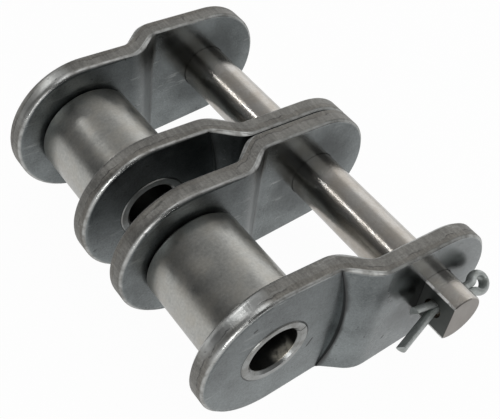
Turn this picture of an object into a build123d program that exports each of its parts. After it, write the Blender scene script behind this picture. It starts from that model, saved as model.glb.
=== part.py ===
from build123d import *
import math
import os

# Offset link for a double-strand roller chain, also called a half link or cranked link.
# It joins a narrow link to a wide one, so a chain can have an odd number of pitches.
# All sizes are in millimetres.
#
# Frame: the origin lies on the axis of the bushes, midway between the two strands.
# +X runs along the chain from the bush end to the pin end, +Y across the strands to
# the far one, and +Z is up. Bushes, rollers and pin all lie along Y.

# The chain: one pitch from bush to pin, and the room between a strand's plates
PITCH = 19.05
INNER_WIDTH = 12.8

# Plates: four stampings of one outline, joggled outwards or inwards by the crank
PLATE_THICKNESS = 2.3
BUSH_END_RADIUS = 8.95
PIN_END_RADIUS = 7.75
EDGE_BREAK = 0.3
SIDE_PLAY = 0.34
MIDDLE_GAP = 0.1
CRANK_ANGLE = 40.0
CRANK_BEND_RADIUS = 2.6
CRANK_LEAD = 0.6
STEP_INTO_CRANK = 1.64
STEP_RADIUS = 31.0

# Rollers: turn freely on the bushes
ROLLER_DIAMETER = 11.91
ROLLER_PLAY = 0.08
ROLLER_SIDE_PLAY = 0.2
ROLLER_CHAMFER = 0.35

# Pin: half as thick as the rollers, slips through all four plates, and its flat keeps it from turning
PIN_DIAMETER = ROLLER_DIAMETER / 2
PIN_PLAY = 0.05
PIN_TAIL = 4.4
PIN_FAR_PROUD = 0.6
PIN_FLAT_DEPTH = 1.5
PIN_CHAMFER = 0.12

# Bushes: curled from strip, so each has a fine seam, and pressed into two plates.
# A bush takes this share of the room between the pin and the roller's tread.
BUSH_SHARE = 0.39
BUSH_RUNNING_PLAY = 0.03
BUSH_PROUD = 0.1
BUSH_MOUTH_CHAMFER = 0.33
BUSH_END_CHAMFER = 0.12
SEAM_WIDTH = 0.1
SEAM_ANGLE = 25.0

# Cotter pin: half-round wire folded into an eye, its two legs splayed behind the flat
COTTER_RADIUS = 0.74
COTTER_SPLIT = 0.04
COTTER_HOLE_PLAY = 0.4
COTTER_FROM_PLATE = 1.9
COTTER_EYE_RADIUS = 0.7
COTTER_NECK_RADIUS = 1.25
COTTER_EYE_GAP = 1.05
COTTER_FLAT_GAP = 0.05
COTTER_BEND_RADIUS = 1.0
COTTER_LONG_LEG = 5.77
COTTER_LONG_SPLAY = 19.0
COTTER_SHORT_LEG = 2.37
COTTER_SHORT_SPLAY = 7.0
COTTER_TILT = 3.0
COTTER_ROLL = -53.0

# What follows from the driving sizes
CRANK_OFFSET = PLATE_THICKNESS + SIDE_PLAY
STRAND_PITCH = INNER_WIDTH + 2 * PLATE_THICKNESS + 2 * CRANK_OFFSET + MIDDLE_GAP
PLATE_MID = (INNER_WIDTH + PLATE_THICKNESS) / 2
NEAR_STRAND = -STRAND_PITCH / 2
FAR_STRAND = STRAND_PITCH / 2
PIN_RADIUS = PIN_DIAMETER / 2
PIN_HOLE_RADIUS = PIN_RADIUS + PIN_PLAY
FLAT_DISTANCE = PIN_RADIUS - PIN_FLAT_DEPTH
ROLLER_RADIUS = ROLLER_DIAMETER / 2
BUSH_BORE_RADIUS = PIN_RADIUS + BUSH_RUNNING_PLAY
BUSH_WALL = BUSH_SHARE * (ROLLER_RADIUS - BUSH_BORE_RADIUS)
BUSH_RADIUS = BUSH_BORE_RADIUS + BUSH_WALL
# The outer faces of the two outer plates at their pin ends
OUTER_FACE = FAR_STRAND + PLATE_MID + PLATE_THICKNESS / 2 + CRANK_OFFSET
# Room that a cutter or a blank is given beyond the metal it has to clear
OVERSHOOT = 1.0


def along_y(radius, start, end, x=0.0):
    """A cylinder along Y, from start to end, about the axis that crosses X at x."""
    disc = Plane.XZ.offset(-start) * Pos(x, 0) * Circle(radius)
    return extrude(disc, amount=start - end)


def plate_outline():
    """The plate seen from its side: two round ends and the straight flanks that touch both."""
    lean = math.acos((BUSH_END_RADIUS - PIN_END_RADIUS) / PITCH)
    bush_x, bush_z = BUSH_END_RADIUS * math.cos(lean), BUSH_END_RADIUS * math.sin(lean)
    pin_x, pin_z = PITCH + PIN_END_RADIUS * math.cos(lean), PIN_END_RADIUS * math.sin(lean)
    edges = [
        Line((bush_x, bush_z), (pin_x, pin_z)),
        ThreePointArc((pin_x, pin_z), (PITCH + PIN_END_RADIUS, 0), (pin_x, -pin_z)),
        Line((pin_x, -pin_z), (bush_x, -bush_z)),
        ThreePointArc((bush_x, -bush_z), (-BUSH_END_RADIUS, 0), (bush_x, bush_z)),
    ]
    return make_face(edges)


def crank_span():
    """Where the crank starts and where it ends, along X."""
    angle = math.radians(CRANK_ANGLE)
    rise_in_bends = 2 * CRANK_BEND_RADIUS * (1 - math.cos(angle))
    ramp_run = (CRANK_OFFSET - rise_in_bends) / math.tan(angle)
    half_run = CRANK_BEND_RADIUS * math.sin(angle) + ramp_run / 2
    middle = PITCH / 2 - CRANK_LEAD
    return middle - half_run, middle + half_run


def crank_side(shift):
    """The line of one face of the plate seen from above, shift away from mid-thickness."""
    first, second = crank_span()
    start = Line((-BUSH_END_RADIUS - OVERSHOOT, shift), (first, shift))
    bend_out = CenterArc((first, CRANK_BEND_RADIUS), CRANK_BEND_RADIUS - shift, -90, CRANK_ANGLE)
    bend_back = CenterArc(
        (second, CRANK_OFFSET - CRANK_BEND_RADIUS), CRANK_BEND_RADIUS + shift, 90 + CRANK_ANGLE, -CRANK_ANGLE
    )
    ramp = Line(bend_out @ 1, bend_back @ 0)
    end = Line(bend_back @ 1, (PITCH + PIN_END_RADIUS + OVERSHOOT, CRANK_OFFSET + shift))
    return [start, bend_out, ramp, bend_back, end]


def cranked_blank():
    """The stamping without holes, its crank going towards +Y, its bush end midway at y = 0."""
    outer, inner = crank_side(PLATE_THICKNESS / 2), crank_side(-PLATE_THICKNESS / 2)
    ends = [Line(outer[0] @ 0, inner[0] @ 0), Line(outer[-1] @ 1, inner[-1] @ 1)]
    profile = make_face(outer + inner + ends)
    sheet = extrude(profile, amount=BUSH_END_RADIUS + OVERSHOOT, both=True)
    reach = PLATE_THICKNESS + CRANK_OFFSET + OVERSHOOT
    block = extrude(Plane.XZ * plate_outline(), amount=reach, both=True)
    blank = sheet & block
    rims = [e for e in blank.edges() if e not in blank.edges().filter_by(Axis.Y) + blank.edges().filter_by(Axis.Z)]
    # A round boss on the press tool leaves a small curved step in the foot of the crank
    crank_start, _ = crank_span()
    boss = along_y(STEP_RADIUS, PLATE_THICKNESS / 2, reach, crank_start + STEP_INTO_CRANK - STEP_RADIUS)
    return chamfer(rims, EDGE_BREAK) - boss


def round_pin_hole():
    """The cutter for a plate that the pin's full round passes through."""
    return along_y(PIN_HOLE_RADIUS, -OUTER_FACE, OUTER_FACE, PITCH)


def flatted_pin_hole():
    """The cutter for the near outer plate: its hole has a flat, so the pin can't turn."""
    flat_x = PITCH - FLAT_DISTANCE - PIN_PLAY
    beyond = Pos(flat_x - PIN_DIAMETER / 2, 0, 0) * Box(PIN_DIAMETER, 2 * OUTER_FACE, 2 * PIN_DIAMETER)
    return round_pin_hole() - beyond


def plate(strand, side, pin_hole):
    """One plate: side is +1 where the crank goes to +Y, and -1 where it goes to -Y."""
    blank = cranked_blank()
    if side < 0:
        blank = mirror(blank, about=Plane.XZ)
    placed = Pos(0, strand + side * PLATE_MID, 0) * blank
    bush_seat = along_y(BUSH_RADIUS, -OUTER_FACE, OUTER_FACE)
    return placed - bush_seat - pin_hole


def bush(strand):
    """A tube curled from strip: pressed into its two plates, its seam never quite closes."""
    half = PLATE_MID + PLATE_THICKNESS / 2 + BUSH_PROUD
    tube = along_y(BUSH_RADIUS, strand - half, strand + half)
    tube = chamfer(tube.edges().filter_by(GeomType.CIRCLE), BUSH_END_CHAMFER)
    bore = along_y(BUSH_BORE_RADIUS, strand - half - OVERSHOOT, strand + half + OVERSHOOT)
    tube = tube - bore
    mouths = [e for e in tube.edges().filter_by(GeomType.CIRCLE) if e.radius < BUSH_RADIUS - BUSH_WALL / 2]
    tube = chamfer(mouths, BUSH_MOUTH_CHAMFER)
    seam = Pos(BUSH_RADIUS, strand, 0) * Box(2 * BUSH_RADIUS, 2 * half + OVERSHOOT, SEAM_WIDTH)
    return tube - Rot(0, -SEAM_ANGLE, 0) * seam


def roller(strand):
    """A turned ring with eased edges, free on its bush and free between its two plates."""
    half = INNER_WIDTH / 2 - ROLLER_SIDE_PLAY
    ring = along_y(ROLLER_RADIUS, strand - half, strand + half)
    ring = chamfer(ring.edges().filter_by(GeomType.CIRCLE), ROLLER_CHAMFER)
    return ring - along_y(BUSH_RADIUS + ROLLER_PLAY, strand - half, strand + half)


def long_pin():
    """The one pin across both strands: round, with a flat along its near end as far as a shoulder."""
    near_end, far_end = -OUTER_FACE - PIN_TAIL, OUTER_FACE + PIN_FAR_PROUD
    shoulder = -OUTER_FACE + PLATE_THICKNESS
    rod = along_y(PIN_RADIUS, near_end, far_end, PITCH)
    rod = chamfer(rod.edges().filter_by(GeomType.CIRCLE), PIN_CHAMFER)
    length = shoulder - near_end + OVERSHOOT
    beyond = Box(PIN_RADIUS, length, PIN_DIAMETER, align=(Align.MAX, Align.MAX, Align.CENTER))
    rod = rod - Pos(PITCH - FLAT_DISTANCE, shoulder, 0) * beyond
    hole = Plane.YZ * Circle(COTTER_RADIUS + COTTER_HOLE_PLAY)
    hole = extrude(hole, amount=PIN_DIAMETER, both=True)
    return rod - Pos(PITCH, -OUTER_FACE - COTTER_FROM_PLATE, 0) * hole


def cotter_path():
    """The line of the wire's flat inner side, from the short leg's tip round the eye to the long leg's."""
    half_split = COTTER_SPLIT / 2
    exit_x = -FLAT_DISTANCE - COTTER_FLAT_GAP
    short, long = math.radians(COTTER_SHORT_SPLAY), math.radians(COTTER_LONG_SPLAY)
    neck_x = PIN_RADIUS + COTTER_EYE_GAP
    neck_height = half_split + COTTER_NECK_RADIUS
    apart = COTTER_NECK_RADIUS + COTTER_EYE_RADIUS
    eye_x = neck_x + math.sqrt(apart**2 - neck_height**2)
    turn = math.degrees(math.acos(neck_height / apart))
    bend = COTTER_BEND_RADIUS
    short_bend = CenterArc((exit_x, half_split + bend), bend, -90 - COTTER_SHORT_SPLAY, COTTER_SHORT_SPLAY)
    short_tip = (short_bend @ 0) + Vector(-math.cos(short), math.sin(short)) * COTTER_SHORT_LEG
    long_bend = CenterArc((exit_x, -half_split - bend), bend, 90, COTTER_LONG_SPLAY)
    long_tip = (long_bend @ 1) + Vector(-math.cos(long), -math.sin(long)) * COTTER_LONG_LEG
    neck_in = CenterArc((neck_x, neck_height), COTTER_NECK_RADIUS, -90, turn)
    eye = CenterArc((eye_x, 0), COTTER_EYE_RADIUS, 90 + turn, -180 - 2 * turn)
    neck_out = CenterArc((neck_x, -neck_height), COTTER_NECK_RADIUS, 90 - turn, turn)
    edges = [
        Line(short_tip, short_bend @ 0),
        short_bend,
        Line(short_bend @ 1, neck_in @ 0),
        neck_in,
        eye,
        neck_out,
        Line(neck_out @ 1, long_bend @ 0),
        long_bend,
        Line(long_bend @ 1, long_tip),
    ]
    return Plane.XZ * Wire(edges)


def cotter_pin():
    """Half-round wire swept along its path, then set in its hole a little askew, as a loose one lies."""
    path = cotter_path()
    start, heading = path @ 0, path % 0
    across = Vector(0, 1, 0)
    outward = across.cross(heading)
    section_plane = Plane(origin=start, x_dir=across, z_dir=heading)
    half_disc = Circle(COTTER_RADIUS) & Pos(0, COTTER_RADIUS) * Rectangle(2 * COTTER_RADIUS, 2 * COTTER_RADIUS)
    section = section_plane * half_disc
    if (section.center() - start).dot(outward) * outward.Z < 0:
        section = section_plane * Rot(0, 0, 180) * half_disc
    wire = sweep(section, path)
    middle = (PIN_RADIUS - FLAT_DISTANCE) / 2
    askew = Pos(middle, 0, 0) * Rot(0, COTTER_TILT, 0) * Rot(COTTER_ROLL, 0, 0) * Pos(-middle, 0, 0)
    return Pos(PITCH, -OUTER_FACE - COTTER_FROM_PLATE, 0) * askew * wire


pieces = {
    "near_outer_plate": plate(NEAR_STRAND, -1, flatted_pin_hole()),
    "near_inner_plate": plate(NEAR_STRAND, 1, round_pin_hole()),
    "far_inner_plate": plate(FAR_STRAND, -1, round_pin_hole()),
    "far_outer_plate": plate(FAR_STRAND, 1, round_pin_hole()),
    "near_bush": bush(NEAR_STRAND),
    "far_bush": bush(FAR_STRAND),
    "near_roller": roller(NEAR_STRAND),
    "far_roller": roller(FAR_STRAND),
    "long_pin": long_pin(),
    "cotter_pin": cotter_pin(),
}

os.makedirs("parts", exist_ok=True)
for name, piece in pieces.items():
    export_step(piece, f"parts/{name}.step")
    print(name, "volume", round(piece.volume, 1), "size", piece.bounding_box().size)
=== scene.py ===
# %% [markdown]
# A double-strand offset link for a roller chain. It is ten pieces of steel: four cranked
# plates, two curled bushes, two rollers, one long pin and the split cotter that keeps it in.
# The CAD model has every shape, and it comes in as a fixed frame. This file adds how the
# steel looks, the light it stands in and the camera it is seen by. It also sweeps the
# cotter's wire again, because the eased corners of drawn wire show in a close view.

# %% Load the frame
import math

import bpy
from mathutils import Matrix, Vector


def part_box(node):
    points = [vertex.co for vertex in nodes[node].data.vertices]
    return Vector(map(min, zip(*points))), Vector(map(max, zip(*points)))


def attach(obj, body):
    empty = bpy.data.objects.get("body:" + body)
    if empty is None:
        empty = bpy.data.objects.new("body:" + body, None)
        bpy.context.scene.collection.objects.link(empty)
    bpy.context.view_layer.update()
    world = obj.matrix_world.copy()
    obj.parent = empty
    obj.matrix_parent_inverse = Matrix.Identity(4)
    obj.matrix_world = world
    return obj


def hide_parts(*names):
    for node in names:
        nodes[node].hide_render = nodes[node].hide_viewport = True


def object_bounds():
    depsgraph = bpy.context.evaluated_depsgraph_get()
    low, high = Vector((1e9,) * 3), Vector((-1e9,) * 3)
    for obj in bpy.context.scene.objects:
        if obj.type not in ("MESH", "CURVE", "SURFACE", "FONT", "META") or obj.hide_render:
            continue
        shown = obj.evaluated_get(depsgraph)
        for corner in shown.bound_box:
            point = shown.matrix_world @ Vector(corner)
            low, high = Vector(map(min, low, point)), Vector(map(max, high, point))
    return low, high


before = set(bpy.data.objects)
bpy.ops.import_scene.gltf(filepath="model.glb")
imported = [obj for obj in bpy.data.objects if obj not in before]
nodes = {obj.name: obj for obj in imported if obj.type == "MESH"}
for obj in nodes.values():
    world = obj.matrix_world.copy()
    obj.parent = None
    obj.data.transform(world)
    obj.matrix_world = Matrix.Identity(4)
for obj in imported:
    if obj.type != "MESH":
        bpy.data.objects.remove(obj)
cad_box = [list(corner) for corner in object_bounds()]
MM = 0.001


def in_mm(lengths):
    """Lengths in metres, rounded to hundredths of a millimetre for a printout."""
    return [round(length / MM, 2) for length in lengths]


print("CAD box:", in_mm(cad_box[0]), in_mm(cad_box[1]), "mm")

# %% [markdown]
# Every pattern further down is laid out from the link's own sizes. They could be typed in
# again, but then a change of the CAD model would leave the paint behind, so they are measured
# here from the frame. The pin's box gives the pitch, and a plate's box gives the two round ends
# and how far the crank steps sideways. Only the thickness of the plate is given.

# %% Measure the link
PLATE_THICKNESS = 2.3 * MM

pin_low, pin_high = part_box("long_pin")
plate_low, plate_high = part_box("far_outer_plate")
far_roller_low, far_roller_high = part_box("far_roller")
near_roller_low, near_roller_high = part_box("near_roller")
bush_low, bush_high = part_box("far_bush")

PITCH = (pin_low.x + pin_high.x) / 2
PIN_RADIUS = (pin_high.z - pin_low.z) / 2
BUSH_END_RADIUS = -plate_low.x
PIN_END_RADIUS = plate_high.x - PITCH
CRANK_OFFSET = plate_high.y - plate_low.y - PLATE_THICKNESS
FAR_STRAND = (far_roller_low.y + far_roller_high.y) / 2
NEAR_STRAND = (near_roller_low.y + near_roller_high.y) / 2
PLATE_MID = plate_low.y + PLATE_THICKNESS / 2 - FAR_STRAND
ROLLER_HALF = (far_roller_high.y - far_roller_low.y) / 2
BUSH_RADIUS = (bush_high.z - bush_low.z) / 2
NEAR_FACE = NEAR_STRAND - PLATE_MID - CRANK_OFFSET - PLATE_THICKNESS / 2
print("pitch, crank and strands:", in_mm((PITCH, CRANK_OFFSET, NEAR_STRAND, FAR_STRAND)), "mm")

# %% [markdown]
# The camera stands above the bush end, to the left of the cotter, and looks down at the link.
# It could be aimed with a Track To constraint, but a picture that has to match a photo needs
# every number, so they are all stated. A camera looks along its own -Z, so its rotation is
# built from three directions: back, towards the viewer, right, and up. A small roll turns the
# picture, as a hand-held camera would.

# %% Set up the camera
CAMERA_AZIMUTH = math.radians(-40.50)
CAMERA_ELEVATION = math.radians(47.31)
CAMERA_ROLL = math.radians(7.30)
CAMERA_DISTANCE = 108.74 * MM
CAMERA_LENS = 67.86
CAMERA_SHIFT = (0.0529, 0.0026)
CLIP_START = 1 * MM
AIM = Vector((7.52, -0.71, -1.70)) * MM


def add_object(name, data):
    """A new object in the scene, at the origin."""
    added = bpy.data.objects.new(name, data)
    bpy.context.scene.collection.objects.link(added)
    return added


back = Vector((
    math.sin(CAMERA_AZIMUTH) * math.cos(CAMERA_ELEVATION),
    -math.cos(CAMERA_AZIMUTH) * math.cos(CAMERA_ELEVATION),
    math.sin(CAMERA_ELEVATION),
))
level_right = Vector((math.cos(CAMERA_AZIMUTH), math.sin(CAMERA_AZIMUTH), 0))
level_up = back.cross(level_right)
right = math.cos(CAMERA_ROLL) * level_right + math.sin(CAMERA_ROLL) * level_up
up = back.cross(right)

camera_data = bpy.data.cameras.new("camera")
camera_data.lens = CAMERA_LENS
camera_data.shift_x, camera_data.shift_y = CAMERA_SHIFT
camera_data.clip_start = CLIP_START
camera = add_object("camera", camera_data)
camera_turn = Matrix((right, up, back)).transposed().to_4x4()
camera.matrix_world = Matrix.Translation(AIM + CAMERA_DISTANCE * back) @ camera_turn
bpy.context.scene.camera = camera
print("camera at", in_mm(camera.matrix_world.translation), "mm")

# %% [markdown]
# Every material here is a tree of nodes. They could be placed by hand in the shader editor, but
# a script can repeat them and name their numbers. Four helpers place nodes and join them.

# %% Helpers for materials
def put(tree, kind, **settings):
    """Adds a node to a tree and sets its properties."""
    node = tree.nodes.new(kind)
    for name, value in settings.items():
        setattr(node, name, value)
    return node


def feed(tree, value, socket):
    """Gives an input socket its value: another node's output, or a plain number or colour."""
    if isinstance(value, bpy.types.NodeSocket):
        tree.links.new(value, socket)
    else:
        socket.default_value = value


def calc(tree, operation, *values):
    """One Math node, fed with sockets or numbers."""
    node = put(tree, "ShaderNodeMath", operation=operation)
    for value, socket in zip(values, node.inputs):
        feed(tree, value, socket)
    return node.outputs[0]


def new_material(name):
    """An empty node material: its tree, its shader and the position on the object."""
    material = bpy.data.materials.new(name)
    material.use_nodes = True
    tree = material.node_tree
    position = put(tree, "ShaderNodeTexCoord").outputs["Object"]
    return material, tree, tree.nodes["Principled BSDF"], position


print("material helpers ready")

# %% [markdown]
# The link lies on a pale, even sheet, as small parts do when they are photographed. Steel
# shows what stands around it, so this sheet also fills the lower half of every reflection. A
# white picture behind the link would give no shadow, so the floor is real paper with an even
# white mixed in where the camera or a reflection looks at it. That keeps the shadow, but faint.

# %% Make the floor's paper
FLOOR_COLOUR = (0.88, 0.88, 0.88, 1)
FLOOR_ROUGH = 0.9
FLOOR_GRAIN, FLOOR_BUMP = 900, 0.02
FLOOR_WHITE_SHARE = 0.97
MIRRORED_WHITE_SHARE = 0.70

floor_material, tree, shader, position = new_material("pale_paper")
feed(tree, FLOOR_COLOUR, shader.inputs["Base Color"])
feed(tree, FLOOR_ROUGH, shader.inputs["Roughness"])
paper = put(tree, "ShaderNodeTexNoise")
feed(tree, position, paper.inputs["Vector"])
feed(tree, FLOOR_GRAIN, paper.inputs["Scale"])
paper_bump = put(tree, "ShaderNodeBump")
feed(tree, FLOOR_BUMP, paper_bump.inputs["Strength"])
feed(tree, paper.outputs["Fac"], paper_bump.inputs["Height"])
feed(tree, paper_bump.outputs["Normal"], shader.inputs["Normal"])
ray = put(tree, "ShaderNodeLightPath").outputs
mirrored = calc(tree, "MAXIMUM", ray["Is Glossy Ray"], ray["Is Transmission Ray"])
mirrored_share = calc(tree, "MULTIPLY", mirrored, MIRRORED_WHITE_SHARE)
share = calc(tree, "MULTIPLY_ADD", ray["Is Camera Ray"], FLOOR_WHITE_SHARE, mirrored_share)
lift = put(tree, "ShaderNodeMixShader")
feed(tree, share, lift.inputs[0])
feed(tree, shader.outputs[0], lift.inputs[1])
feed(tree, put(tree, "ShaderNodeEmission").outputs[0], lift.inputs[2])
feed(tree, lift.outputs[0], tree.nodes["Material Output"].inputs["Surface"])
print("floor material", floor_material.name)

# %% [markdown]
# The sheet is one flat square at the height of the link's lowest point. A curved sweep of paper
# would hide the horizon, but the camera looks down and sees none.

# %% Lay the floor
FLOOR_SIZE = 3.0
floor_height = cad_box[0][2]
half = FLOOR_SIZE / 2
sheet = [(x, y, floor_height) for x, y in ((-half, -half), (half, -half), (half, half), (-half, half))]

floor_mesh = bpy.data.meshes.new("floor")
floor_mesh.from_pydata(sheet, [], [(0, 1, 2, 3)])
floor_mesh.materials.append(floor_material)
floor = add_object("floor", floor_mesh)
print("floor at", in_mm([floor_height]), "mm")

# %% [markdown]
# The room matters more to polished steel than the lamps do. It is bright on the far right,
# where the window is, and dark behind the left and around the viewer. That gives each round
# piece a light right flank, a mid-toned crown and a dark band on its left, above the white
# strip of paper that its lower edge shows. A photographed panorama could do this, but a ramp
# over one direction needs no picture and each tone can be set by itself: each level below
# belongs to a cosine of the angle to the bright side, from -1, away from it, to 1.

# %% Colour the world by direction
BRIGHT_SIDE = Vector((0.80, 0.52, 0.20))
LEVELS = (
    (-0.80, 0.24), (-0.45, 0.06), (-0.15, 0.15), (0.10, 0.21),
    (0.44, 0.32), (0.80, 0.45), (0.96, 1.15),
)

world = bpy.data.worlds.new("room")
bpy.context.scene.world = world
world.use_nodes = True
tree = world.node_tree
towards = put(tree, "ShaderNodeVectorMath", operation="DOT_PRODUCT")
feed(tree, put(tree, "ShaderNodeTexCoord").outputs["Generated"], towards.inputs[0])
feed(tree, BRIGHT_SIDE.normalized(), towards.inputs[1])
ramp = put(tree, "ShaderNodeValToRGB")
ramp.color_ramp.interpolation = "EASE"
stops = ramp.color_ramp.elements
for number, (cosine, level) in enumerate(LEVELS):
    place = 0.5 + cosine / 2
    stop = stops[number] if number < 2 else stops.new(place)
    stop.position = place
    stop.color = (level, level, level, 1)
feed(tree, calc(tree, "MULTIPLY_ADD", towards.outputs["Value"], 0.5, 0.5), ramp.inputs["Fac"])
feed(tree, ramp.outputs["Color"], tree.nodes["Background"].inputs["Color"])
feed(tree, 1.0, tree.nodes["Background"].inputs["Strength"])
print("world from", LEVELS[1][1], "on the dark side to", LEVELS[-1][1], "on the bright one")

# %% [markdown]
# Four lamps finish the light. Sun or point lamps would make hard dots on round steel, so each
# is an area lamp, which draws its own outline. A slim strip, long in the pin's direction, draws
# the bright line along the pin and glints on the plates' edges. Light linking keeps it off the
# rollers, which would spread it into a wide glare. A small one low behind the link makes the
# sparks at the far end of each roller. A third, low in front, draws a thin line on the broken
# edges of the plates. A broad one high up fills the shadows softly.

# %% Hang the lamps
LAMP_DISTANCE = 0.6
LAMPS = {
    # name: direction from the link, length, width, power
    "strip": ((-0.49, 0.48, 0.745), 0.40, 0.022, 0.31),
    "spark": ((-0.30, 0.80, 0.52), 0.08, 0.08, 0.26),
    "edge": ((-0.51, -0.83, 0.24), 0.14, 0.14, 0.65),
    "fill": ((0.2, -0.35, 1.0), 0.6, 0.6, 1.2),
}
PLATES = ("near_outer_plate", "near_inner_plate", "far_inner_plate", "far_outer_plate")
ALONG_PIN = Vector((0, 1, 0))


def hang(name, way, length, width, power):
    """An area lamp that faces the middle of the link, with its length in the pin's direction."""
    data = bpy.data.lights.new(name, "AREA")
    data.shape = "RECTANGLE"
    data.size, data.size_y = length, width
    data.energy = power
    lamp = add_object(name, data)
    behind = Vector(way).normalized()
    sideways = behind.cross(ALONG_PIN).normalized()
    turn = Matrix((sideways.cross(behind), -sideways, behind)).transposed().to_4x4()
    lamp.matrix_world = Matrix.Translation(AIM + LAMP_DISTANCE * behind) @ turn
    return lamp


lamps = {name: hang(name, *facts) for name, facts in LAMPS.items()}
strip_lit = bpy.data.collections.new("strip_lit")
for node in ("long_pin", *PLATES):
    strip_lit.objects.link(nodes[node])
lamps["strip"].light_linking.receiver_collection = strip_lit
bpy.context.scene.view_settings.view_transform = "Standard"
print("lamps hung:", len(lamps))

# %% [markdown]
# A metal's finish is many small effects, one over the other: clouds, streaks, rubbed edges,
# dirt, and painted light and shade. Several pieces share them, so each effect is a shader group
# with named sockets, built once and placed in every finish that needs it. Copies of the nodes
# would look the same, but each would have to be mended by itself. These helpers make and place
# such groups.

# %% Helpers for shader groups
def new_group(name, inputs, outputs):
    """A shader group. An input with a first value is a number, and one with None a vector."""
    group = bpy.data.node_groups.new(name, "ShaderNodeTree")
    for label, value in inputs.items():
        kind = "NodeSocketVector" if value is None else "NodeSocketFloat"
        socket = group.interface.new_socket(label, in_out="INPUT", socket_type=kind)
        if value is not None:
            socket.default_value = value
    for label in outputs:
        group.interface.new_socket(label, in_out="OUTPUT", socket_type="NodeSocketFloat")
    entry = put(group, "NodeGroupInput")
    leaving = put(group, "NodeGroupOutput")
    return group, entry.outputs, leaving.inputs


def fill(tree, sockets, **values):
    """Feeds sockets by their names; an underscore stands for a space."""
    for name, value in values.items():
        feed(tree, value, sockets[name.replace("_", " ")])


def use(tree, group, **values):
    """Places a shader group in a material and fills its inputs."""
    node = put(tree, "ShaderNodeGroup", node_tree=group)
    fill(tree, node.inputs, **values)
    return node.outputs


print("group helpers ready")

# %% [markdown]
# Inside the groups it is mostly arithmetic. A script node could hold a whole formula, but single
# steps can be looked at one by one in the shader editor. A Math node takes two numbers, so sums
# and products of more are chained by a helper.

# %% Helpers for sums
def chain(tree, operation, values):
    """Joins any number of values by one operation."""
    joined = values[0]
    for value in values[1:]:
        joined = calc(tree, operation, joined, value)
    return joined


def plus(tree, *values):
    return chain(tree, "ADD", values)


def times(tree, *values):
    return chain(tree, "MULTIPLY", values)


def most(tree, *values):
    return chain(tree, "MAXIMUM", values)


def minus(tree, first, second):
    return calc(tree, "SUBTRACT", first, second)


def size_of(tree, value):
    """A value without its sign."""
    return calc(tree, "ABSOLUTE", value)


print("helpers for sums ready")

# %% [markdown]
# A mask says where an effect is, from 0 to 1. The Map Range node turns any value into a mask
# with soft edges, which a Color Ramp does too, but with numbers that can't be fed by a node.
# Noise is what breaks a mask up, because wear is never even.

# %% Helpers for masks
def span(tree, value, low, high, to_low=0.0, to_high=1.0):
    """Maps a value smoothly from one range to another and stops at its ends."""
    node = put(tree, "ShaderNodeMapRange", interpolation_type="SMOOTHSTEP")
    for item, socket in zip((value, low, high, to_low, to_high), node.inputs):
        feed(tree, item, socket)
    return node.outputs[0]


def noise(tree, vector, scale, detail=3.0, roughness=0.55):
    """A noise texture's value, from 0 to 1; its scale is in patches to the metre."""
    node = put(tree, "ShaderNodeTexNoise")
    fill(tree, node.inputs, Vector=vector, Scale=scale, Detail=detail, Roughness=roughness)
    return node.outputs["Fac"]


print("helpers for masks ready")

# %% [markdown]
# Patterns are laid out in coordinates: squeezed ones make streaks, turned ones make slanting
# scuffs, and the distance from an axis makes rings. A UV map could carry them, but the CAD
# pieces have none, and the position on the object is there for every piece.

# %% Helpers for coordinates
def split_xyz(tree, vector):
    """The three parts of a vector."""
    node = put(tree, "ShaderNodeSeparateXYZ")
    feed(tree, vector, node.inputs[0])
    return node.outputs


def join_xyz(tree, *parts):
    """A vector from its three parts."""
    node = put(tree, "ShaderNodeCombineXYZ")
    for part, socket in zip(parts, node.inputs):
        feed(tree, part, socket)
    return node.outputs[0]


def stretched(tree, vector, scale, rotation=(0, 0, 0)):
    """Coordinates that are turned and squeezed, so that a noise in them is drawn out."""
    node = put(tree, "ShaderNodeMapping")
    fill(tree, node.inputs, Vector=vector, Scale=scale, Rotation=rotation)
    return node.outputs[0]


def off_axis(tree, x, z, axis_x):
    """The distance from an axis that runs along Y and crosses the X axis at axis_x."""
    run = minus(tree, x, axis_x)
    squares = plus(tree, calc(tree, "POWER", run, 2.0), calc(tree, "POWER", z, 2.0))
    return calc(tree, "SQRT", squares)


print("helpers for coordinates ready")

# %% [markdown]
# A mask mixes two colours or two numbers, and a tone makes a colour lighter or darker. What is
# too small to model, such as a grain or a groove, is a height that bends the light.

# %% Helpers for colours and bumps
def blend_colour(tree, amount, first, second):
    """Mixes two colours by an amount from 0 to 1."""
    node = put(tree, "ShaderNodeMix", data_type="RGBA")
    for value, socket in zip((amount, first, second), (node.inputs[0], node.inputs[6], node.inputs[7])):
        feed(tree, value, socket)
    return node.outputs[2]


def blend_value(tree, amount, first, second):
    """Mixes two numbers by an amount from 0 to 1."""
    node = put(tree, "ShaderNodeMix", data_type="FLOAT")
    for value, socket in zip((amount, first, second), (node.inputs[0], node.inputs[2], node.inputs[3])):
        feed(tree, value, socket)
    return node.outputs[0]


def toned(tree, colour, tone):
    """A colour, made lighter or darker by a tone."""
    node = put(tree, "ShaderNodeVectorMath", operation="SCALE")
    feed(tree, colour, node.inputs[0])
    feed(tree, tone, node.inputs["Scale"])
    return node.outputs[0]


def bump_by(tree, shader, height):
    """Bends a shader's light by a height in metres."""
    bump = put(tree, "ShaderNodeBump")
    fill(tree, bump.inputs, Strength=1.0, Distance=1.0, Height=height)
    feed(tree, bump.outputs["Normal"], shader.inputs["Normal"])


print("helpers for colours and bumps ready")

# %% [markdown]
# Steel is never one even grey. Close up it has cloudy patches a few millimetres wide and a fine
# grain from blasting and tumbling. An image texture would show its seams on bent faces, so two
# noises in the object's own space make them. All finishes share this group, each at its own
# strength. It puts out a tone to multiply a colour by, a wear for the roughness, and a height.

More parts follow.
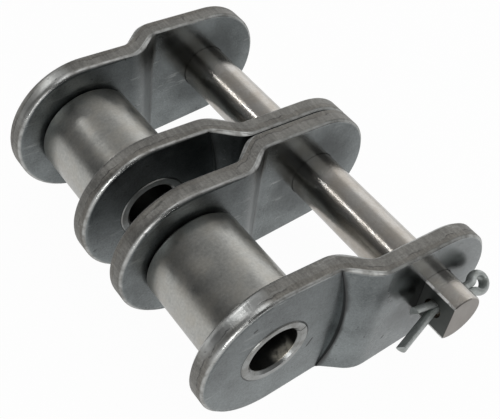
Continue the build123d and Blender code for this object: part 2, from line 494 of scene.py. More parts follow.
# %% Build the steel grain group
tree, given, result = new_group(
    "steel_grain",
    {"Position": None, "Cloud Size": 0.004, "Cloud": 0.3, "Grain Size": 0.0003, "Grain": 0.3},
    ("Tone", "Wear", "Height"))
steel_grain = tree
clouds = noise(tree, given["Position"], calc(tree, "DIVIDE", 1.0, given["Cloud Size"]), 4.0, 0.6)
specks = noise(tree, given["Position"], calc(tree, "DIVIDE", 1.0, given["Grain Size"]), 2.0, 0.7)
cloud_swing = times(tree, minus(tree, span(tree, clouds, 0.3, 0.7), 0.5), given["Cloud"])
speck_swing = times(tree, minus(tree, specks, 0.5), given["Grain"])
fill(
    tree, result, Tone=plus(tree, 1.0, plus(tree, cloud_swing, speck_swing)),
    Wear=span(tree, clouds, 0.35, 0.65), Height=specks)
print("group", steel_grain.name)

# %% [markdown]
# A plate is stamped from strip, so its face and its rim look different. To paint them, the
# material must know where on the plate it is. A painted mask or a vertex group would need the
# CAD mesh to be changed, so this group works it out from the position. The outline is two
# circles and their common tangents, which has a simple distance formula, and the crank is close
# to a smooth step along X. Through runs from -1 at one face to 1 at the other. Tumbling has
# rounded the edges more than the CAD model's small flat, so the group also puts out the height
# that a wide rounding would take away, in metres, for a bump to bend the light with.

# %% Build the plate place group
LEAN = (BUSH_END_RADIUS - PIN_END_RADIUS) / PITCH
UPRIGHT = math.sqrt(1 - LEAN ** 2)
CRANK_START, CRANK_END = 6.4 * MM, 11.45 * MM
EDGE_ROUND_BUSH, EDGE_ROUND_PIN = 0.75 * MM, 0.35 * MM

tree, given, result = new_group(
    "plate_place", {"Position": None, "Strand": 0.0, "Side": 1.0},
    ("Rim Distance", "Through", "X", "Z", "Rounding"))
plate_place = tree
x, y, z = split_xyz(tree, given["Position"])
z_size = size_of(tree, z)

# the distance outside the outline: two circles, and the tangents between them
to_bush_end = minus(tree, off_axis(tree, x, z_size, 0.0), BUSH_END_RADIUS)
to_pin_end = minus(tree, off_axis(tree, x, z_size, PITCH), PIN_END_RADIUS)
to_flank = minus(tree, plus(tree, times(tree, z_size, UPRIGHT), times(tree, x, LEAN)), BUSH_END_RADIUS)
along = minus(tree, times(tree, x, UPRIGHT), times(tree, z_size, LEAN))
at_bush = calc(tree, "LESS_THAN", along, 0.0)
at_pin = calc(tree, "GREATER_THAN", along, UPRIGHT * PITCH)
between = minus(tree, 1.0, plus(tree, at_bush, at_pin))
distance = plus(
    tree, times(tree, at_bush, to_bush_end), times(tree, at_pin, to_pin_end),
    times(tree, between, to_flank))

# the place between the two faces
outward = times(tree, minus(tree, y, given["Strand"]), given["Side"])
middle = span(tree, x, CRANK_START, CRANK_END, PLATE_MID, PLATE_MID + CRANK_OFFSET)
through = calc(tree, "DIVIDE", minus(tree, outward, middle), PLATE_THICKNESS / 2)

# what a wide rounding takes off the edge
edge_round = span(tree, x, -0.2 * PITCH, 0.5 * PITCH, EDGE_ROUND_BUSH, EDGE_ROUND_PIN)
from_rim = calc(tree, "MINIMUM", most(tree, plus(tree, distance, edge_round), 0.0), edge_round)
depth_in = times(tree, minus(tree, 1.0, size_of(tree, through)), PLATE_THICKNESS / 2)
from_face = most(tree, minus(tree, edge_round, most(tree, depth_in, 0.0)), 0.0)
rounding = minus(tree, 0.0, most(tree, minus(tree, off_axis(tree, from_rim, from_face, 0.0), edge_round), 0.0))
fill(tree, result, Rim_Distance=distance, Through=through, X=x, Z=z, Rounding=rounding)
print("group", plate_place.name)

# %% [markdown]
# The rim is where the punch went through the strip. It has a smooth sheared band next to one
# face, then a torn and warmer band, with streaks that run across the thickness and a broken
# dark line between the two. Streaks could be a stretched wave, but a wave repeats, so a noise
# is squeezed along Y instead. A second noise moves the line between the bands up and down.

# %% Build the punched rim group
EDGE_WIDTH = 0.32 * MM
SHEAR_LINE, SHEAR_SOFT = 0.25, 0.06
STREAK_SCALE, STREAK_SQUEEZE = 2600, (1, 0.12, 1)
WOBBLE_SCALE, WOBBLE = 700, 0.9
BREAK_SCALE = 450

tree, given, result = new_group(
    "punched_rim", {"Position": None, "Rim Distance": 0.0, "Through": 0.0},
    ("Rim", "Torn", "Streaks", "Tone", "Shear"))
punched_rim = tree
position = given["Position"]
rim = span(tree, given["Rim Distance"], -EDGE_WIDTH, -0.6 * EDGE_WIDTH)
streaks = noise(tree, stretched(tree, position, STREAK_SQUEEZE), STREAK_SCALE, 4.0, 0.65)
wobble = times(tree, minus(tree, noise(tree, position, WOBBLE_SCALE), 0.5), WOBBLE)
level = plus(tree, given["Through"], wobble)
shear_line = span(tree, size_of(tree, minus(tree, level, SHEAR_LINE)), 0.02, 0.09, 1.0, 0.0)
broken = span(tree, noise(tree, position, BREAK_SCALE), 0.46, 0.60, 0.0, 0.55)
fill(
    tree, result, Rim=rim, Streaks=streaks, Tone=span(tree, streaks, 0.25, 0.75, 0.80, 1.16),
    Torn=span(tree, level, SHEAR_LINE - SHEAR_SOFT, SHEAR_LINE + SHEAR_SOFT),
    Shear=times(tree, shear_line, rim, broken))
print("group", punched_rim.name)

# %% [markdown]
# Plates rub on each other in the tumbler and in the chain, so the edge where a face meets the
# rim is rubbed bright. The upper shoulder of the bush end is polished in broken streaks and is
# painted lighter there as a highlight. Pointiness finds edges on a dense mesh, but a CAD mesh
# has few points, so the mask is made from the distances that the place group gives. Across says
# how much of the rim's width the shine takes.

# %% Build the edge wear and highlight group
SHINE_FROM, SHINE_TO = -0.97 * BUSH_END_RADIUS, -0.10 * BUSH_END_RADIUS
SHINE_FADE = 1.5 * MM
RUB_SCALE, PATCH_SCALE, PATCH_STRETCH = 900, 700, 0.3

tree, given, result = new_group(
    "edge_wear_and_highlight",
    {"Position": None, "Rim Distance": 0.0, "Through": 0.0, "X": 0.0, "Z": 0.0, "Across": 1.0},
    ("Edge", "Shine"))
edge_wear_and_highlight = tree
x, z, through = given["X"], given["Z"], given["Through"]
depth = size_of(tree, through)
near_rim = span(tree, given["Rim Distance"], -1.5 * EDGE_WIDTH, -0.35 * EDGE_WIDTH)
near_face = span(tree, depth, 0.70, 0.86)
rubbed = span(tree, noise(tree, given["Position"], RUB_SCALE, 2.0), 0.3, 0.6, 0.25, 0.8)
# the upper shoulder of the bush end: polish, and a painted highlight over it
left_of = span(tree, x, SHINE_TO, SHINE_TO - SHINE_FADE)
right_of = span(tree, x, SHINE_FROM, SHINE_FROM + SHINE_FADE)
shoulder = times(tree, left_of, right_of, calc(tree, "GREATER_THAN", z, 0.0))
drawn_out = join_xyz(
    tree, times(tree, x, PATCH_STRETCH), times(tree, through, PLATE_THICKNESS / 2),
    times(tree, z, PATCH_STRETCH))
patchy = span(tree, noise(tree, drawn_out, PATCH_SCALE, 2.0, 0.5), 0.35, 0.60, 0.25, 1.0)
across = blend_value(tree, given["Across"], span(tree, depth, 0.66, 0.84), 1.0)
fill(
    tree, result, Edge=times(tree, near_rim, near_face, rubbed),
    Shine=times(tree, shoulder, across, patchy, near_rim))
print("group", edge_wear_and_highlight.name)

# %% [markdown]
# The faces carry faint scuffs, drawn out aslant to the link's length, and fine dark pits in
# loose groups. Marks drawn one by one would be right for a few, but there are hundreds, so a
# fine noise makes them and a coarse one says where they gather.

# %% Build the face marks group
SCUFF_SLANT, SCUFF_SQUEEZE = math.radians(35), (0.16, 1, 1)
SCUFF_SCALE, SCUFF_PATCHES, SCUFF_SHARE = 1500, 220, 0.34
PIT_SCALE, PIT_PATCHES, PIT_SHARE = 2100, 300, 0.55

tree, given, result = new_group("face_marks", {"Position": None}, ("Scuffs", "Pits"))
face_marks = tree
position = given["Position"]
aslant = stretched(tree, position, SCUFF_SQUEEZE, (0, SCUFF_SLANT, 0))
scuffs = span(tree, noise(tree, aslant, SCUFF_SCALE, 3.0, 0.6), 0.57, 0.74, 0.0, SCUFF_SHARE)
scuffed = span(tree, noise(tree, position, SCUFF_PATCHES, 2.0), 0.45, 0.65)
pits = span(tree, noise(tree, position, PIT_SCALE, 1.0), 0.66, 0.74, 0.0, PIT_SHARE)
pitted = span(tree, noise(tree, position, PIT_PATCHES, 2.0), 0.48, 0.66)
fill(tree, result, Scuffs=times(tree, scuffs, scuffed), Pits=times(tree, pits, pitted))
print("group", face_marks.name)

# %% [markdown]
# In the hollow of each bend, a dark line is painted as shade. The bend at the foot of the
# crank is curved like the rim of a cup, and the one at its head is straight. The Ambient
# Occlusion node finds hollows too, but it also darkens where two plates come close, so the line
# is drawn from the bends' own places. A noise changes its width on the way.

# %% Build the painted bend shade group
STEP_X, STEP_RADIUS = 8.05 * MM, 31 * MM
BACK_X = 10.8 * MM
LINE_WIDTH, LINE_PATCHES = 0.45 * MM, 350

tree, given, result = new_group(
    "painted_bend_shade", {"Position": None, "X": 0.0, "Z": 0.0, "Through": 0.0, "Strength": 0.5}, ("Lines",))
painted_bend_shade = tree
sag = calc(tree, "DIVIDE", calc(tree, "POWER", given["Z"], 2.0), 2 * STEP_RADIUS)
from_foot = plus(tree, minus(tree, given["X"], STEP_X), sag)
from_head = minus(tree, given["X"], BACK_X)
uneven = span(tree, noise(tree, given["Position"], LINE_PATCHES, 2.0), 0.3, 0.7, 0.5, 1.3)
width = times(tree, uneven, LINE_WIDTH)
lines = []
for away, face in ((from_foot, 1), (from_head, -1)):
    line = span(tree, size_of(tree, away), 0.0, width, 1.0, 0.0)
    lines.append(times(tree, line, span(tree, given["Through"], 0.8 * face, 0.95 * face)))
fill(tree, result, Lines=times(tree, most(tree, *lines), given["Strength"]))
print("group", painted_bend_shade.name)

# %% [markdown]
# A fine dark gap shows round the bush and round the pin, where they pass through the plate, and
# the face round the pin is painted darker, as shade. Both are rings about an axis, so the
# distance from the axis is all that they need.

# %% Build the fit lines group
RING_GAP, RING_DARK = 0.11 * MM, 0.85
# how far the painted shade round the pin reaches, and how dark it is
PIN_SHADE_REACH, PIN_SHADE_TONE = (0.8 * MM, 4.5 * MM), 0.55

tree, given, result = new_group("fit_lines", {"X": 0.0, "Z": 0.0}, ("Gap", "Oil"))
fit_lines = tree
from_bush = minus(tree, off_axis(tree, given["X"], given["Z"], 0.0), BUSH_RADIUS)
from_pin = minus(tree, off_axis(tree, given["X"], given["Z"], PITCH), PIN_RADIUS)
rings = [span(tree, away, 0.3 * RING_GAP, RING_GAP, RING_DARK, 0.0) for away in (from_bush, from_pin)]
fill(tree, result, Gap=most(tree, *rings), Oil=span(tree, from_pin, *PIN_SHADE_REACH, PIN_SHADE_TONE, 1.0))
print("group", fit_lines.name)

# %% [markdown]
# The near plate has been knocked, and three short dents show in its outer face. They could be
# cut into the mesh, but the CAD mesh stays as it is, so each is a dark line between two points
# in millimetres along X and Z.

# %% Define a dent
NEAR_DENTS = (((4.5, -2.7), (5.2, -1.5)), ((-3.4, 5.6), (-2.9, 5.9)), ((13.2, -4.6), (13.5, -4.1)))
DENT_CORE, DENT_WIDTH = 0.06 * MM, 0.19 * MM


def dent(tree, place, start, end):
    """A mask for one dent, in a plate's outer face."""
    heading = math.atan2(end[1] - start[1], end[0] - start[0])
    half_length = math.dist(start, end) / 2 * MM
    off_x = minus(tree, place["X"], (start[0] + end[0]) / 2 * MM)
    off_z = minus(tree, place["Z"], (start[1] + end[1]) / 2 * MM)
    lengthwise = plus(tree, times(tree, off_x, math.cos(heading)), times(tree, off_z, math.sin(heading)))
    crosswise = minus(tree, times(tree, off_z, math.cos(heading)), times(tree, off_x, math.sin(heading)))
    return times(
        tree,
        span(tree, size_of(tree, lengthwise), 0.8 * half_length, 1.1 * half_length, 1.0, 0.0),
        span(tree, size_of(tree, crosswise), DENT_CORE, DENT_WIDTH, 1.0, 0.0),
        span(tree, place["Through"], 0.5, 0.9))


print("dents in the near plate:", len(NEAR_DENTS))

# %% [markdown]
# The blasted face of a plate is a mid grey with a slight blue cast. Each face is painted lighter
# towards its lower side and darker towards its upper side, as painted light and shade, and the
# pin end is smoother than the bush end. Steel takes its tone from the room, so these colours are
# what the metal reflects and not what a picture of it shows. They were set by comparing the
# render with the photo.

# %% Name the plate's colours
FACE_GREY = (0.175, 0.19, 0.192, 1)
RIM_WARM = (0.205, 0.197, 0.180, 1)
RIM_SHEARED = (0.235, 0.23, 0.215, 1)
EDGE_BRIGHT = (0.55, 0.56, 0.55, 1)
CREASE_DARK = (0.045, 0.045, 0.045, 1)
FACE_ROUGH, PIN_END_ROUGH, RIM_ROUGH, WEAR_ROUGH = 0.33, 0.17, 0.50, 0.07
EDGE_POLISH, SHINE_POLISH = 0.15, 0.22
# painted light and shade: a face is lighter towards its lower side and darker towards its upper side
LOW_TONE, HIGH_TONE = 1.22, 0.88
GRAIN_DEPTH, STREAK_DEPTH, SHEAR_DEPTH = 0.010 * MM, 0.025 * MM, 0.03 * MM
PLATE_GRAIN = {"Cloud_Size": 0.0038, "Cloud": 0.40, "Grain_Size": 0.00022, "Grain": 0.85}
print("face grey", FACE_GREY[:3])

# %% [markdown]
# The plate's finish puts the groups together, and in this order: a face and a rim, what is
# rubbed bright or painted as highlight on them, and what is dark on top, real marks and painted
# shade. One material could serve all four plates if it read each one's place, but the sides
# crank in opposite ways, so each plate has its own, made by one function from a few facts.

# %% Define the plate steel
def plate_steel(name, strand, side, bend_shade_strength, shine_across, shade_level, dents=()):
    """The finish of one plate, told which strand it is in and which way it cranks."""
    material, tree, shader, position = new_material(name)
    place = use(tree, plate_place, Position=position, Strand=strand, Side=side)
    x, z, through, to_rim = (place[label] for label in ("X", "Z", "Through", "Rim Distance"))
    grain = use(tree, steel_grain, Position=position, **PLATE_GRAIN)
    punched = use(tree, punched_rim, Position=position, Rim_Distance=to_rim, Through=through)
    worn = use(
        tree, edge_wear_and_highlight, Position=position, Rim_Distance=to_rim, Through=through,
        X=x, Z=z, Across=shine_across)
    marks = use(tree, face_marks, Position=position)
    bends = use(tree, painted_bend_shade, Position=position, X=x, Z=z, Through=through, Strength=bend_shade_strength)
    fits = use(tree, fit_lines, X=x, Z=z)

    # painted light and shade: lighter low on the face, darker high up, and darker on plates with a lower shade
    # level
    level = span(
        tree, z, -0.8 * BUSH_END_RADIUS, 0.8 * BUSH_END_RADIUS,
        LOW_TONE * shade_level, HIGH_TONE * shade_level)
    # the face round the pin painted darker, as shade
    face_tone = times(tree, fits["Oil"], level)
    tone = times(tree, grain["Tone"], blend_value(tree, punched["Rim"], face_tone, punched["Tone"]))
    rim_colour = blend_colour(tree, punched["Torn"], RIM_SHEARED, RIM_WARM)
    colour = toned(tree, blend_colour(tree, punched["Rim"], FACE_GREY, rim_colour), tone)
    # rubbed edges and scuffs, and the shoulder's painted highlight over its polish
    bright = most(tree, worn["Edge"], worn["Shine"], marks["Scuffs"])
    colour = blend_colour(tree, bright, colour, EDGE_BRIGHT)
    # dark marks: gaps round the bush and pin, dents, pits and the shear line, and the painted shade in the
    # bends
    dark = most(
        tree, fits["Gap"], *(dent(tree, place, *ends) for ends in dents),
        marks["Pits"], bends["Lines"], punched["Shear"])
    feed(tree, blend_colour(tree, dark, colour, CREASE_DARK), shader.inputs["Base Color"])
    feed(tree, 1.0, shader.inputs["Metallic"])

    # the roughness: polish takes away from it
    face_rough = span(tree, x, 0.5 * PITCH, 0.75 * PITCH, FACE_ROUGH, PIN_END_ROUGH)
    unpolished = blend_value(tree, punched["Rim"], face_rough, RIM_ROUGH)
    rough = plus(tree, times(tree, grain["Wear"], WEAR_ROUGH), unpolished)
    polish = plus(tree, times(tree, worn["Edge"], EDGE_POLISH), times(tree, worn["Shine"], SHINE_POLISH))
    feed(tree, minus(tree, rough, polish), shader.inputs["Roughness"])

    # the height: grain, streaks, the groove of the shear line and the rounded edge
    bumps = plus(
        tree, times(tree, grain["Height"], GRAIN_DEPTH),
        times(tree, punched["Streaks"], punched["Rim"], STREAK_DEPTH))
    grooved = minus(tree, bumps, times(tree, punched["Shear"], SHEAR_DEPTH))
    bump_by(tree, shader, plus(tree, grooved, place["Rounding"]))
    return material


print("plate finish ready")

# %% [markdown]
# The two plates on each side of a strand mirror each other, so a side of 1 or -1 tells the
# groups which way is out. The near outer plate has been handled and has the dents. Its shoulder
# has the painted highlight over its whole width and its painted bend shade is darker. The other
# three plates are painted a little darker, as shade.

# %% Dress the plates
PLATE_FACTS = {
    # node: strand, side, strength of the painted bend shade, width of the painted highlight, shade level,
    # dents
    "near_outer_plate": (NEAR_STRAND, -1.0, 0.9, 1.0, 1.0, NEAR_DENTS),
    "near_inner_plate": (NEAR_STRAND, 1.0, 0.5, 0.0, 0.92),
    "far_inner_plate": (FAR_STRAND, -1.0, 0.5, 0.0, 0.92),
    "far_outer_plate": (FAR_STRAND, 1.0, 0.5, 0.6, 0.92),
}


def dress(node, material):
    """Gives a CAD node its finish in place of the plain one that it came with."""
    mesh = nodes[node].data
    mesh.materials.clear()
    mesh.materials.append(material)


for node in PLATES:
    dress(node, plate_steel(node + "_steel", *PLATE_FACTS[node]))
print("plates dressed:", len(PLATES))

# %% [markdown]
# Rollers, bushes and the pin are turned or ground, so their marks run round the Y axis. An
# anisotropic shader would stretch the highlights, but it draws no marks. This group does: it
# lays a noise across the distance from the axis and along Y, and leaves it long around the
# turn, which gives fine rings on every face of a round piece.

# %% Build the turned marks group
AROUND = 0.3 * MM

tree, given, result = new_group(
    "turned_marks", {"Position": None, "Axis X": 0.0, "Mark Size": 0.0002, "Strength": 0.2},
    ("Tone", "Height"))
turned_marks = tree
x, y, z = split_xyz(tree, given["Position"])
turn = calc(tree, "ARCTAN2", z, minus(tree, x, given["Axis X"]))
around = times(tree, calc(tree, "COSINE", turn), AROUND)
unrolled = join_xyz(tree, off_axis(tree, x, z, given["Axis X"]), y, around)
rings = noise(tree, unrolled, calc(tree, "DIVIDE", 1.0, given["Mark Size"]), 3.0, 0.6)
ring_swing = times(tree, minus(tree, rings, 0.5), given["Strength"])
fill(tree, result, Tone=plus(tree, 1.0, ring_swing), Height=rings)
print("group", turned_marks.name)

# %% [markdown]
# One function makes the finish of every turned piece: rings over a clouded tint. What only one
# piece has, such as the pin's tail or the dust in a bush, comes in as a function of its own,
# which paints over the colour. Tumbling also rolls the rollers' ends over. A bevel would need a
# new mesh, so the height falls away there in a parabola and the bump bends the light.

# %% Define the round steels
WEAR_SHARE = 0.08
ROUND_GRAIN_SIZE, ROUND_GRAIN_DEPTH = 0.3 * MM, 0.006 * MM
EASED_SLOPE = 0.25


def from_strand(tree, y):
    """The distance along Y from the middle of the nearer strand."""
    return size_of(tree, minus(tree, size_of(tree, y), FAR_STRAND))


def eased_ends(tree, position, reach):
    """How far the rounding of a roller's ends takes the surface down."""
    over = most(tree, minus(tree, from_strand(tree, split_xyz(tree, position)[1]), ROLLER_HALF - reach), 0.0)
    return times(tree, calc(tree, "POWER", over, 2.0), EASED_SLOPE / (2 * reach))


def round_steel(name, clean, stain, cloud_size, cloud, roughness, mark_size,
                marks=0.0, mark_depth=0.0, axis_x=0.0, metallic=1.0, paint=None, eased=0.0):
    """The finish of a turned piece, with its axis at axis_x and its ends eased on request."""
    material, tree, shader, position = new_material(name)
    grain = use(
        tree, steel_grain, Position=position, Cloud_Size=cloud_size, Cloud=cloud,
        Grain_Size=ROUND_GRAIN_SIZE, Grain=cloud + 0.1)
    rings = use(
        tree, turned_marks, Position=position, Axis_X=axis_x, Mark_Size=mark_size, Strength=marks)
    tint = blend_colour(tree, grain["Wear"], clean, stain)
    colour = toned(tree, tint, times(tree, grain["Tone"], rings["Tone"]))
    rough = plus(tree, roughness, times(tree, grain["Wear"], WEAR_SHARE))
    if paint:
        colour, rough, metallic = paint(tree, position, colour, rough)
    feed(tree, colour, shader.inputs["Base Color"])
    feed(tree, rough, shader.inputs["Roughness"])
    feed(tree, metallic, shader.inputs["Metallic"])
    height = plus(
        tree, times(tree, rings["Height"], mark_depth), times(tree, grain["Height"], ROUND_GRAIN_DEPTH))
    if eased:
        height = minus(tree, height, eased_ends(tree, position, eased))
    bump_by(tree, shader, height)
    return material


print("round finish ready")

# %% [markdown]
# The rollers are tumbled after turning, which leaves a soft sheen, a warm tint and darker
# patches. Both have the same finish, so they share one material.

# %% Dress the rollers
ROLLER_COLOUR = (0.50, 0.50, 0.475, 1)
ROLLER_STAIN = (0.37, 0.36, 0.33, 1)

roller_steel = round_steel(
    "roller_steel", ROLLER_COLOUR, ROLLER_STAIN, cloud_size=0.0022, cloud=0.45, roughness=0.29,
    mark_size=0.25 * MM, marks=0.15, mark_depth=0.010 * MM, eased=1.6 * MM)
for node in ("near_roller", "far_roller"):
    dress(node, roller_steel)
print("rollers dressed:", roller_steel.name)

# %% [markdown]
# The bushes are the same steel, smoother. Their bores are painted darker as shade, and dry dust
# lies low in the mouth of each, where it catches light while steel stays black. The dust could
# be loose grains, but from this far off it is only a dull patch, so it is a mask that looks for
# the lower side of the bore, close to a mouth.

# %% Dress the bushes
BUSH_COLOUR = (0.36, 0.37, 0.365, 1)
BUSH_STAIN = (0.22, 0.22, 0.21, 1)
BORE_SHADE, BORE_SHADE_SHARE = (0.045, 0.042, 0.035, 1), 0.5
BORE_DUST, DUST_SHARE = (0.62, 0.59, 0.50, 1), 0.7
DUST_WAY = (0.64, -0.77)
DUST_DEEP, DUST_SHALLOW = 1.9 * MM, 0.6 * MM
DUST_SCALE = 1300
BORE_CLEARANCE = 0.08 * MM


def bore_paint(tree, position, colour, rough):
    """Painted shade inside the bore and dust in its mouth, which is not metallic."""
    x, y, z = split_xyz(tree, position)
    radius = off_axis(tree, x, z, 0.0)
    inside = calc(tree, "LESS_THAN", radius, PIN_RADIUS + BORE_CLEARANCE)
    # painted shade inside the bore
    colour = blend_colour(tree, times(tree, inside, BORE_SHADE_SHARE), colour, BORE_SHADE)
    downward = plus(tree, times(tree, x, DUST_WAY[0]), times(tree, z, DUST_WAY[1]))
    lying = span(tree, calc(tree, "DIVIDE", downward, radius), 0.84, 0.98)
    mouth = PLATE_MID + PLATE_THICKNESS / 2
    near_mouth = span(tree, from_strand(tree, y), mouth - DUST_DEEP, mouth - DUST_SHALLOW)
    broken = span(tree, noise(tree, position, DUST_SCALE, 3.0, 0.6), 0.35, 0.6, 0.3, 1.0)
    dusty = times(tree, inside, lying, near_mouth, broken)
    colour = blend_colour(tree, dusty, colour, BORE_DUST)
    return colour, rough, minus(tree, 1.0, times(tree, dusty, DUST_SHARE))


bush_steel = round_steel(
    "bush_steel", BUSH_COLOUR, BUSH_STAIN, cloud_size=0.0015, cloud=0.2, roughness=0.28,
    mark_size=0.2 * MM, marks=0.25, mark_depth=0.008 * MM, paint=bore_paint)
for node in ("near_bush", "far_bush"):
    dress(node, bush_steel)
print("bushes dressed:", bush_steel.name)

# %% [markdown]
# The pin is ground and polished, and only its tail is different: the milled flat is dull and
# painted dark as shade, with a painted highlight along its edges, and the sawn end is a dull warm
# grey. Separate material slots would need the faces to be picked by hand, so the paint finds them
# by their distance from the pin's axis and from its end.

# %% Dress the pin
PIN_COLOUR = (0.56, 0.54, 0.51, 1)
PIN_STAIN = (0.42, 0.39, 0.35, 1)
FLAT_SHADE = (0.085, 0.09, 0.085, 1)
SAWN_END = (0.30, 0.28, 0.26, 1)
PAINTED_GLINT = (0.95, 0.95, 0.93, 1)
PIN_FLAT_DISTANCE = PIN_RADIUS - 1.5 * MM
FLAT_TOLERANCE, END_TOLERANCE = 0.02 * MM, 0.03 * MM
GLINT_CORE, GLINT_WIDTH, GLINT_SCALE = 0.08 * MM, 0.26 * MM, 1500
TAIL_ROUGH, GLINT_SHARE = 0.25, 0.8


def tail_paint(tree, position, colour, rough):
    """The milled flat painted dark as shade, the sawn end, and a painted highlight on the flat's edges, which
    scatters light like paint.
    """
    x, y, z = split_xyz(tree, position)
    inward = size_of(tree, plus(tree, minus(tree, x, PITCH), PIN_FLAT_DISTANCE))
    on_tail = calc(tree, "LESS_THAN", y, NEAR_FACE)
    flat = times(tree, calc(tree, "LESS_THAN", inward, FLAT_TOLERANCE), on_tail)
    end = calc(tree, "LESS_THAN", y, pin_low.y + END_TOLERANCE)
    corner_z = math.sqrt(PIN_RADIUS ** 2 - PIN_FLAT_DISTANCE ** 2)
    from_corner = off_axis(tree, inward, minus(tree, size_of(tree, z), corner_z), 0.0)
    # a painted highlight along both edges of the flat, broken by a noise
    broken = span(tree, noise(tree, position, GLINT_SCALE, 2.0), 0.35, 0.55, 0.35, 1.0)
    glint = times(tree, span(tree, from_corner, GLINT_CORE, GLINT_WIDTH, 1.0, 0.0), on_tail, broken)
    # the flat painted dark as shade, the sawn end's own grey, and the painted highlight on the flat's edges
    for mask, paint in ((flat, FLAT_SHADE), (end, SAWN_END), (glint, PAINTED_GLINT)):
        colour = blend_colour(tree, mask, colour, paint)
    rough = plus(tree, rough, times(tree, most(tree, flat, end), TAIL_ROUGH))
    return colour, rough, minus(tree, 1.0, times(tree, glint, GLINT_SHARE))


pin_steel = round_steel(
    "pin_steel", PIN_COLOUR, PIN_STAIN, cloud_size=0.0030, cloud=0.2, roughness=0.17,
    mark_size=0.07 * MM, marks=0.12, mark_depth=0.006 * MM, axis_x=PITCH, paint=tail_paint)
dress("long_pin", pin_steel)
print("pin dressed:", pin_steel.name)

# %% [markdown]
# The split cotter is half-round wire, doubled over so that its two flats meet and its eye stands
# open. A part that follows a path is work for Geometry Nodes: the path is drawn once, and a
# tree sweeps a profile along it. The path is only straights and arcs, so a small helper walks
# along it, as the wire runs in the bending tool, and notes points on the way. The sizes repeat
# the CAD model's, so that the wire lies exactly where the collision solid is.

# %% Define a walk along a path
ARC_STEP = 7


class Walk:
    """Walks in the XZ plane by straights and arcs, and keeps the points that it passes."""

    def __init__(self, x, z, heading):
        self.x, self.z, self.heading = x, z, heading
        self.points = [(x, 0, z)]

    def straight(self, length):
        self.x += length * math.cos(math.radians(self.heading))
        self.z += length * math.sin(math.radians(self.heading))
        self.points.append((self.x, 0, self.z))

    def arc(self, radius, turn):
        steps = max(2, round(abs(turn) / ARC_STEP))
        chord = 2 * radius * math.sin(math.radians(abs(turn) / steps / 2))
        for _ in range(steps):
            self.heading += turn / steps / 2
            self.straight(chord)
            self.heading += turn / steps / 2


print("an arc takes a point every", ARC_STEP, "degrees")

# %% [markdown]
# The wire starts at the tip of its short leg, goes through the pin, turns round the eye and
# comes back beside itself to the tip of the long leg. Both legs are splayed behind the flat,
# which is what keeps the cotter in. Points could be placed by eye, but real wire has even
# bends, each with its radius.

# %% Walk along the cotter's wire
WIRE_RADIUS = 0.74 * MM
WIRE_SPLIT = 0.04 * MM
SHORT_LEG, SHORT_SPLAY = 2.37 * MM, 7
LONG_LEG, LONG_SPLAY = 5.77 * MM, 19
BEND_RADIUS = 1.0 * MM
NECK_RADIUS, EYE_RADIUS, EYE_GAP = 1.25 * MM, 0.70 * MM, 1.05 * MM
FLAT_GAP = 0.05 * MM

flat_x = -PIN_FLAT_DISTANCE - FLAT_GAP
through_pin = PIN_RADIUS + EYE_GAP - flat_x
rise = NECK_RADIUS + WIRE_SPLIT / 2
neck_turn = math.degrees(math.acos(rise / (NECK_RADIUS + EYE_RADIUS)))
tip_angle = math.radians(SHORT_SPLAY)
bend_rise = BEND_RADIUS * (1 - math.cos(tip_angle))
wire = Walk(
    flat_x - BEND_RADIUS * math.sin(tip_angle) - SHORT_LEG * math.cos(tip_angle),
    WIRE_SPLIT / 2 + bend_rise + SHORT_LEG * math.sin(tip_angle),
    -SHORT_SPLAY)
wire.straight(SHORT_LEG)
wire.arc(BEND_RADIUS, SHORT_SPLAY)
wire.straight(through_pin)
wire.arc(NECK_RADIUS, neck_turn)
wire.arc(EYE_RADIUS, -180 - 2 * neck_turn)
wire.arc(NECK_RADIUS, neck_turn)
wire.straight(through_pin)
wire.arc(BEND_RADIUS, LONG_SPLAY)
wire.straight(LONG_LEG)
print("wire path points:", len(wire.points), "end at", in_mm((wire.x, wire.z)), "mm")

# %% [markdown]
# The profile is half a disc with eased corners. A bevel object could carry it, but then its
# sizes would be hidden in a second curve, so it is built inside the tree, from an arc that is
# closed through its centre, and the wire's radius and its corners stay named inputs. The
# curve's normal is set to the direction across the path, which keeps the flat on the inside
# all the way round. The modifier's inputs are set by their sockets' identifiers.

# %% Build the swept wire tree
def group_socket(tree, label, kind, value=None, way="INPUT"):
    """A named socket on a Geometry Nodes tree."""
    socket = tree.interface.new_socket(label, in_out=way, socket_type="NodeSocket" + kind)
    if value is not None:
        socket.default_value = value
    return socket


PROFILE_POINTS = 24

tree = bpy.data.node_groups.new("half_round_wire", "GeometryNodeTree")
wire_tree = tree
group_socket(tree, "Geometry", "Geometry")
radius_socket = group_socket(tree, "Wire Radius", "Float", 0.001)
corner_socket = group_socket(tree, "Corner Radius", "Float", 0.0001)
finish_socket = group_socket(tree, "Finish", "Material")
group_socket(tree, "Geometry", "Geometry", way="OUTPUT")
entry = put(tree, "NodeGroupInput").outputs
half_disc = put(tree, "GeometryNodeCurveArc", mode="RADIUS")
fill(
    tree, half_disc.inputs, Resolution=PROFILE_POINTS, Radius=entry["Wire Radius"],
    Sweep_Angle=math.radians(180), Connect_Center=True)
eased = put(tree, "GeometryNodeFilletCurve", mode="POLY")
fill(tree, eased.inputs, Curve=half_disc.outputs[0], Radius=entry["Corner Radius"], Limit_Radius=True)
normal = put(tree, "GeometryNodeSetCurveNormal", mode="FREE")
fill(tree, normal.inputs, Curve=entry["Geometry"], Normal=(0, 1, 0))
swept = put(tree, "GeometryNodeCurveToMesh")
fill(tree, swept.inputs, Curve=normal.outputs[0], Profile_Curve=eased.outputs[0], Fill_Caps=True)
realized = put(tree, "GeometryNodeRealizeInstances")
fill(tree, realized.inputs, Geometry=swept.outputs[0])
finished = put(tree, "GeometryNodeSetMaterial")
fill(tree, finished.inputs, Geometry=realized.outputs[0], Material=entry["Finish"])
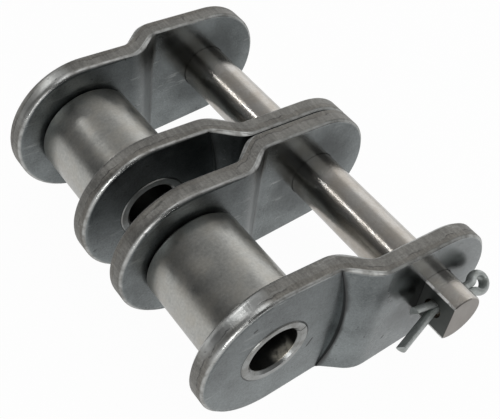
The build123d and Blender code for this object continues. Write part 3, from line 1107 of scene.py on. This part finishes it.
feed(tree, finished.outputs[0], put(tree, "NodeGroupOutput").inputs["Geometry"])
print("tree", wire_tree.name, "with", len(wire_tree.nodes), "nodes")

# %% [markdown]
# Cotter wire is soft and has a thin zinc coat, so it is paler, cooler and duller than the rest.
# The wire is drawn through a die and then tumbled, which leaves a coarse grain and no rings, so
# the round finish serves it too, with the rings turned off.

# %% Make the cotter's zinc
ZINC = (0.56, 0.59, 0.58, 1)
ZINC_DULL = (0.32, 0.34, 0.325, 1)

cotter_zinc = round_steel(
    "cotter_zinc", ZINC, ZINC_DULL, cloud_size=0.0008, cloud=0.5, roughness=0.36,
    mark_size=0.2 * MM, axis_x=PITCH, metallic=0.5)
print("finish", cotter_zinc.name)

# %% [markdown]
# The path becomes a curve, the tree sweeps the wire along it, and the result is kept as a plain
# mesh, which the frame can take. The cotter was pushed in by hand, so it sits a little askew
# in its hole: it leans, and it is rolled about its own length. It stands for the CAD cotter
# and moves with the pin.

# %% Sweep the wire and set it in its hole
CORNER_RADIUS = 0.09 * MM
HOLE_BEHIND_FACE = 1.9 * MM
WIRE_TILT, WIRE_ROLL = math.radians(3), math.radians(-53)
SHARP_FROM = math.radians(50)

path_data = bpy.data.curves.new("wire_path", "CURVE")
path_data.dimensions = "3D"
spline = path_data.splines.new("POLY")
spline.points.add(len(wire.points) - 1)
for point, place in zip(spline.points, wire.points):
    point.co = (*place, 1)
path = add_object("wire_path", path_data)
sweep = path.modifiers.new("sweep", "NODES")
sweep.node_group = wire_tree
sweep[radius_socket.identifier] = WIRE_RADIUS
sweep[corner_socket.identifier] = CORNER_RADIUS
sweep[finish_socket.identifier] = cotter_zinc
evaluated = path.evaluated_get(bpy.context.evaluated_depsgraph_get())
wire_mesh = bpy.data.meshes.new_from_object(evaluated)
bpy.data.objects.remove(path)

hole = Vector((PITCH, NEAR_FACE - HOLE_BEHIND_FACE, 0))
centre = Vector(((PIN_RADIUS - PIN_FLAT_DISTANCE) / 2, 0, 0))
askew = Matrix.Rotation(WIRE_TILT, 4, "Y") @ Matrix.Rotation(WIRE_ROLL, 4, "X")
wire_mesh.transform(Matrix.Translation(hole + centre) @ askew @ Matrix.Translation(-centre))
wire_mesh.polygons.foreach_set("use_smooth", [True] * len(wire_mesh.polygons))
wire_mesh.set_sharp_from_angle(angle=SHARP_FROM)
cotter = add_object("cotter_wire", wire_mesh)
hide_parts("cotter_pin")
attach(cotter, "pin")
print("cotter wire:", len(wire_mesh.polygons), "faces")
